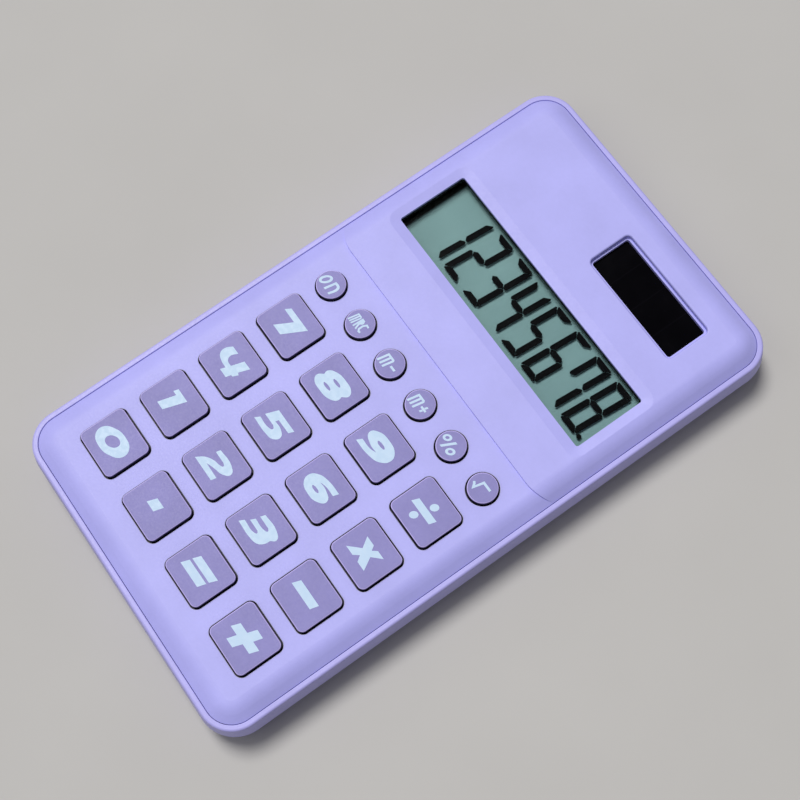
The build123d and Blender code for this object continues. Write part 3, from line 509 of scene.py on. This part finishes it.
LEGENDS = {     # outlines in millimetres from the key's centre
    "key_0": [oval(-0.63, -0.29, 3.55, 2.42), oval(-0.66, -0.21, 1.35, 1.19)],
    "key_1": [[(-2.04, 2.1), (0.94, 2.1), (-0.52, -2.4), (-2.31, -2.4), (-1.33, 1.13),
               (-2.31, 1.12)]],
    "key_2": [[(-2.27, 2.1), (1.3, 2.1, ROUND), (2.69, 1.15, ROUND), (1.7, -0.15, ROUND),
               (-0.1, -0.7, ROUND), (-1.75, -1.3), (1.65, -1.35), (1.4, -2.4), (-3.94, -2.4),
               (-2.9, -0.88, ROUND), (-1.33, 0.1, ROUND), (0.05, 0.46, ROUND),
               (0.6, 0.85, ROUND), (0.02, 1.21), (-2.48, 1.21)]],
    "key_3": [[(-2.02, 2.1), (1.5, 2.12, ROUND), (2.98, 1.21, ROUND), (2.4, 0.15),
               (2.25, -0.9, ROUND), (1.5, -1.95, ROUND), (0.1, -2.4, ROUND), (-3.96, -2.4),
               (-3.48, -1.4), (-0.5, -1.3, ROUND), (-0.12, -0.95, ROUND), (-0.5, -0.63),
               (-2.92, -0.63), (-2.5, 0.31), (0.3, 0.45, ROUND), (0.73, 0.8, ROUND), (0.3, 1.15),
               (-2.35, 1.15)]],
    "key_4": [[(-3.1, 1.94), (-1.35, 1.94), (-1.85, 0.42, ROUND), (-1.35, -0.33, ROUND),
               (-0.17, -0.48), (0.6, 2.02), (2.48, 2.06), (1.71, -0.1), (2.19, -0.31),
               (1.75, -1.37), (1.38, -1.4), (1.08, -2.44), (-0.85, -2.44), (-0.52, -1.44),
               (-1.94, -1.35, ROUND), (-3.45, -0.7, ROUND), (-3.75, 0.52, ROUND)]],
    "key_5": [[(-2.37, 2.02), (2.67, 2.02), (2.25, 0.98), (-0.81, 0.94), (-0.98, 0.31),
               (0.85, 0.27, ROUND), (2.12, -0.6, ROUND), (1.5, -1.95, ROUND),
               (-0.19, -2.4, ROUND), (-3.88, -2.4), (-3.35, -1.4), (-0.8, -1.35, ROUND),
               (-0.02, -0.85, ROUND), (-0.6, -0.42), (-3.27, -0.42)]],
    "key_6": [[(2.5, 2.08), (2.15, 0.98), (0.1, 0.95, ROUND), (-1.31, 0.56), (0.52, 0.56, ROUND),
               (2.4, -0.5, ROUND), (1.35, -1.95, ROUND), (-0.83, -2.44, ROUND),
               (-3.1, -1.8, ROUND), (-3.69, -0.31, ROUND), (-2.7, 1.15, ROUND),
               (-0.52, 1.95, ROUND)],
              oval(-0.77, -0.85, 0.9, 0.3)],
    "key_7": [[(-2.98, 2.04), (2.48, 2.06), (0.04, -2.52), (-2.31, -2.52), (-0.44, 0.9),
               (-3.65, 0.92)]],
    "key_8": [[(0.3, 2.25, ROUND), (2.35, 1.9, ROUND), (2.98, 1.0, ROUND), (2.25, -0.15),
               (2.4, -1.0, ROUND), (1.4, -2.1, ROUND), (-1.3, -2.65, ROUND),
               (-3.5, -2.25, ROUND), (-4.0, -1.35, ROUND), (-3.3, -0.2), (-3.48, 0.6, ROUND),
               (-2.2, 1.8, ROUND)],
              oval(-0.44, 0.65, 1.0, 0.29), oval(-1.02, -1.15, 1.0, 0.29)],
    "key_9": [[(-4.06, -2.6), (-3.54, -1.52), (-1.15, -1.45, ROUND), (0.0, -1.0),
               (-1.98, -0.95, ROUND), (-3.85, 0.2, ROUND), (-2.81, 1.65, ROUND),
               (-0.31, 2.2, ROUND), (2.1, 1.65, ROUND), (2.92, 0.3, ROUND), (1.9, -1.55, ROUND),
               (-0.6, -2.45, ROUND)],
              oval(-0.56, 0.52, 1.0, 0.31)],
    "key_decimal_point": [[(-1.4, 0.83), (0.75, 0.83), (0.2, -1.08), (-2.06, -1.08)]],
    "key_equals": [[(-2.5, 1.58), (2.92, 1.62), (2.33, 0.1), (-3.06, 0.06)],
                   [(-3.13, -0.44), (2.23, -0.4), (1.73, -2.0), (-3.69, -2.04)]],
    "key_plus": [[(-0.33, 2.54), (1.48, 2.54), (0.98, 0.81), (2.9, 0.81), (2.31, -0.92),
                  (0.29, -0.92), (-0.33, -2.71), (-2.21, -2.71), (-1.65, -0.9), (-3.6, -0.9),
                  (-2.98, 0.79), (-0.9, 0.8)]],
    "key_minus": [[(-3.1, 0.77), (2.48, 0.77), (2.02, -0.88), (-3.67, -0.88)]],
    "key_multiply": [[(-2.77, 1.84), (-0.75, 1.84), (-0.19, 0.98), (0.5, 1.86), (2.27, 1.86),
                      (0.6, 0.15), (1.96, -2.19), (-0.02, -2.19), (-0.75, -1.15), (-1.58, -2.19),
                      (-3.56, -2.19), (-1.52, -0.06)]],
    "key_divide": [[(-3.04, 0.46), (2.23, 0.46), (1.81, -0.94), (-3.56, -0.94)],
                   oval(-0.06, 1.65, 0.72, 0.8, 0.2), oval(-1.17, -2.1, 0.72, 0.8, 0.2)],
    "key_on": [oval(-1.73, -0.2, 0.85, 1.25), oval(-1.73, -0.2, 0.38, 0.78),
               [(-0.12, 1.05), (1.0, 1.05, ROUND), (1.42, 0.55, ROUND), (1.1, -1.5),
                (0.66, -1.5), (0.92, 0.4, ROUND), (0.7, 0.62), (0.25, 0.62), (-0.15, -1.5),
                (-0.62, -1.5)]],
    "key_memory_recall": [small_m(-2.6, -1.35, 1.0, 1.25, 0.3),
                          [(-0.95, -1.35), (-0.62, -1.35), (-0.55, -0.3), (-0.2, -1.35),
                           (0.15, -1.35), (-0.22, -0.2), (0.15, 0.35, ROUND), (-0.1, 1.0),
                           (-0.82, 1.0)],
                          stroke([(1.35, 0.7), (0.75, 0.8), (0.4, 0.1), (0.42, -0.8),
                                  (0.75, -1.15), (1.15, -1.05)], 0.36)],
    "key_memory_minus": [small_m(-2.55), [(0.22, 0.02), (1.45, 0.02), (1.36, -0.42),
                                (0.13, -0.42)]],
    "key_memory_plus": [small_m(-2.55), stroke([(0.15, -0.12), (1.48, -0.12)], 0.42),
                        bar(0.68, 1.08, 0.14, 0.72), bar(0.5, 0.9, -0.95, -0.38)],
    "key_percent": [oval(-1.94, 0.33, 0.74, 0.76), oval(-1.94, 0.33, 0.32, 0.34),
                    [(-0.38, 1.05), (0.15, 1.05), (-1.2, -1.6), (-1.7, -1.6)],
                    oval(0.5, -0.8, 0.78, 0.82), oval(0.5, -0.8, 0.35, 0.38)],
    "key_square_root": [stroke([(-2.25, -0.5), (-1.85, -0.75), (-1.45, -1.3), (-0.95, 0.72),
                                (0.95, 0.72)], 0.46)],
}
LEGEND_THICKNESS = 0.02
LEGEND_SINK = 0.005     # into the key top, so that no gap shows
LEGENDS_RIGHT = 0.35    # all legends are printed this much further right than listed


def print_legends():
    ink = legend_ink()
    for key, loops in LEGENDS.items():
        low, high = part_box(key)
        place = Vector(((low.x + high.x) / 2, (low.y + high.y) / 2, high.z))
        place += Vector((LEGENDS_RIGHT, 0, -LEGEND_SINK)) * MM
        piece = solid("legend_" + key.removeprefix("key_"), loops, LEGEND_THICKNESS, place, ink)
        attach(piece, BODY_OF[key])


# ------------------------------------------------------------------ display digits
DIGIT_WIDTH = 4.6
DIGIT_HEIGHT = 12.85
DIGIT_PITCH = 6.1
DIGIT_LEAN = 0.078
SEGMENT = 1.2           # width of a segment
SEGMENT_GAP = 0.08
SEGMENT_CORNER = 0.5    # cut off the digit's outer corners
SIDE_TIP = (0.25, 0.55)     # flat end of a side segment at half height, in from its outer edge
SIDE_TAPER = (0.4, 0.62)    # length of that end, outside and inside
SEGMENT_THICKNESS = 0.04
LAST_DIGIT_IN = 4.4     # middle of the last digit, in from the window's right side
DIGITS_UP = 0.6         # middle of the digits above the middle of the window
DOT_RADIUS = 0.48
DOT_OUT = 0.74          # middle of the point beyond the last digit
SHOWN = "12345678"
LIT = {"1": "bc", "2": "abged", "3": "abgcd", "4": "fgbc", "5": "afgcd", "6": "afgedc",
       "7": "abcf", "8": "abcdefg"}


def digit_segments():
    """Outlines of the seven segments of a digit, about its middle."""
    w, h, s, g, c = DIGIT_WIDTH / 2, DIGIT_HEIGHT / 2, SEGMENT, SEGMENT_GAP, SEGMENT_CORNER
    tip_out, tip_in = SIDE_TIP
    taper_out, taper_in = SIDE_TAPER
    top = [(c - w, h), (w - c, h), (w - c / 2 - g, h - c / 2), (w - s - g, h - s),
           (s + g - w, h - s), (c / 2 + g - w, h - c / 2)]
    side = [(w - c / 2, h - c / 2 - g), (w, h - c), (w, taper_out), (w - tip_out, g),
            (w - tip_in, g), (w - s, taper_in + g), (w - s, h - s - g)]
    middle = [(s / 2 + g - w, 0), (s + g - w, s / 2), (w - s - g, s / 2), (w - s / 2 - g, 0),
              (w - s - g, -s / 2), (s + g - w, -s / 2)]

    def mirrored(points, x, y):
        return [(x * px, y * py) for px, py in points]

    return {"a": top, "b": side, "c": mirrored(side, 1, -1), "d": mirrored(top, 1, -1),
            "e": mirrored(side, -1, -1), "f": mirrored(side, -1, 1), "g": middle}


def show_digits():
    low, high = window_box()
    right, middle = high.x / MM, (low.y + high.y) / 2 / MM + DIGITS_UP
    outlines = digit_segments()
    loops = []
    for count, figure in enumerate(reversed(SHOWN)):
        x = right - LAST_DIGIT_IN - count * DIGIT_PITCH
        for letter in LIT[figure]:
            loops.append([(x + px + DIGIT_LEAN * py, middle + py) for px, py in outlines[letter]])
    dot_y = DOT_RADIUS - DIGIT_HEIGHT / 2
    dot_x = right - LAST_DIGIT_IN + DIGIT_WIDTH / 2 + DOT_OUT + DIGIT_LEAN * dot_y
    loops.append(oval(dot_x, middle + dot_y, DOT_RADIUS, DOT_RADIUS, 0))
    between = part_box("lcd_rear_glass")[1].z - SEGMENT_THICKNESS / 2 * MM
    place = Vector((0, 0, between))
    piece = solid("display_segments", loops, SEGMENT_THICKNESS, place, segment_black())
    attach(piece, BODY_OF["lcd_rear_glass"])


# ------------------------------------------------------------------ floor, light and camera
FLOOR_SIZE = 12.0
FLOOR_BELOW = 0.00002   # the floor lies this far under the back, so the two share no plane
FLOOR_CLOUD = 40.0
FLOOR_DARK = (0.5, 0.49, 0.475)
FLOOR_LIGHT = (0.55, 0.54, 0.525)
KEY_LIGHT = {"towards": (-0.42, 0.02, 1.0), "distance": 1.0, "strength": 2.42,
             "colour": (1.0, 0.985, 0.97)}
KEY_LIGHT_ANGLE = 22.0
FILL_LIGHT = {"towards": (-0.3, -0.8, 1.2), "distance": 0.9, "strength": 0.8,
              "colour": (0.96, 0.97, 1.0)}
FILL_LIGHT_SIZE = 0.6
SKY = 0.2
SKY_COLOUR = (0.95, 0.96, 1.0, 1)
CAMERA_AIM = (0.00177, -0.00074, 0.0105)
CAMERA_AZIMUTH = 61.41
CAMERA_ELEVATION = 72.76
CAMERA_ROLL = 6.84
CAMERA_DISTANCE = 0.259
CAMERA_LENS = 63.7
CLEAR_LAYERS = 24       # clear surfaces that one line of sight may cross, on to a lamp


def lay_floor():
    half = FLOOR_SIZE / 2
    mesh = bpy.data.meshes.new("floor")
    corners = [(x * half, y * half, -FLOOR_BELOW) for x, y in ((-1, -1), (1, -1), (1, 1), (-1, 1))]
    mesh.from_pydata(corners, [], [(0, 1, 2, 3)])
    finish = Finish("pale_floor")
    cloud = finish.noise(FLOOR_CLOUD)
    finish.set(Base_Color=finish.blend(cloud, FLOOR_DARK, FLOOR_LIGHT),
               Roughness=finish.span(cloud, 0.8, 0.9), Specular_IOR_Level=0.1)
    mesh.materials.append(finish.material)
    floor = bpy.data.objects.new("floor", mesh)
    bpy.context.scene.collection.objects.link(floor)


def add_light(lamp, plan):
    """Put the lamp where the plan says, facing the middle of the object's base."""
    lamp.energy = plan["strength"]
    lamp.color = plan["colour"]
    lit = bpy.data.objects.new(lamp.name, lamp)
    direction = Vector(plan["towards"]).normalized()
    lit.location = direction * plan["distance"]
    lit.rotation_mode = "QUATERNION"
    lit.rotation_quaternion = (-direction).to_track_quat("-Z", "Y")
    bpy.context.scene.collection.objects.link(lit)


def light_studio():
    key = bpy.data.lights.new("key_light", "SUN")
    key.angle = math.radians(KEY_LIGHT_ANGLE)
    add_light(key, KEY_LIGHT)
    fill = bpy.data.lights.new("fill_light", "AREA")
    fill.shape = "DISK"
    fill.size = FILL_LIGHT_SIZE
    add_light(fill, FILL_LIGHT)
    world = bpy.data.worlds.new("studio")
    world.use_nodes = True
    sky = world.node_tree.nodes["Background"]
    sky.inputs["Color"].default_value = SKY_COLOUR
    sky.inputs["Strength"].default_value = SKY
    bpy.context.scene.world = world


def place_camera():
    a, e = math.radians(CAMERA_AZIMUTH), math.radians(CAMERA_ELEVATION)
    back = Vector((math.sin(a) * math.cos(e), -math.cos(a) * math.cos(e), math.sin(e)))
    lens = bpy.data.cameras.new("camera")
    lens.lens = CAMERA_LENS
    lens.clip_start = 0.01
    camera = bpy.data.objects.new("camera", lens)
    camera.location = Vector(CAMERA_AIM) + back * CAMERA_DISTANCE
    camera.rotation_mode = "QUATERNION"
    roll = Matrix.Rotation(math.radians(-CAMERA_ROLL), 3, "Z")
    camera.rotation_quaternion = ((-back).to_track_quat("-Z", "Y").to_matrix() @ roll).to_quaternion()
    bpy.context.scene.collection.objects.link(camera)
    bpy.context.scene.camera = camera


place_camera()
lay_floor()
light_studio()
dress_nodes()
print_legends()
show_digits()
bpy.context.scene.view_settings.view_transform = "Standard"
bpy.context.scene.cycles.transparent_max_bounces = CLEAR_LAYERS
